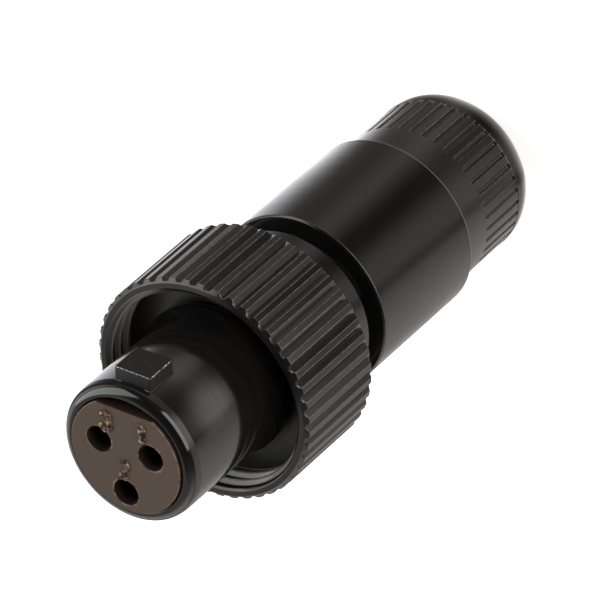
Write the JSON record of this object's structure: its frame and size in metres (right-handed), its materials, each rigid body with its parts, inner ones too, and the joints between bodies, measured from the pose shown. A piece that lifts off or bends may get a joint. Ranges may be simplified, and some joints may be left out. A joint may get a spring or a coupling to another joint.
{
  "type": "mini xlr connector",
  "caption": "Slim cable socket: keyed round nose with a moulded contact insert, a knurled coupling ring that turns on the body, a smooth sleeve and a grooved, domed cable cap.",
  "frame": {"origin": "on the axis, at the flat end of the cable cap, on which the connector stands", "axes": "+Z along the axis from the cable end to the mating face, -Y towards the key, X across"},
  "size_m": [0.014, 0.014, 0.0348],
  "materials": {
    "black_anodised": "satin black anodised",
    "brown_phenolic": "matte moulded",
    "contact_metal": "plated",
    "natural_nylon": "moulded"
  },
  "bodies": {
    "connector_body": {"plug_shell": "black_anodised", "contact_insert": "brown_phenolic", "socket_contact_1": "contact_metal", "socket_contact_2": "contact_metal", "socket_contact_3": "contact_metal", "insulating_tube": "natural_nylon", "body_sleeve": "black_anodised", "cable_chuck": "natural_nylon", "rear_cap": "black_anodised"},
    "ring_body": {"coupling_ring": "black_anodised"}
  },
  "joints": [
    {"name": "ring_turn", "type": "hinge", "parent": "connector_body", "child": "ring_body", "pos_m": [0, 0, 0.0225], "axis": [0, 0, 1], "continuous": true}
  ]
}
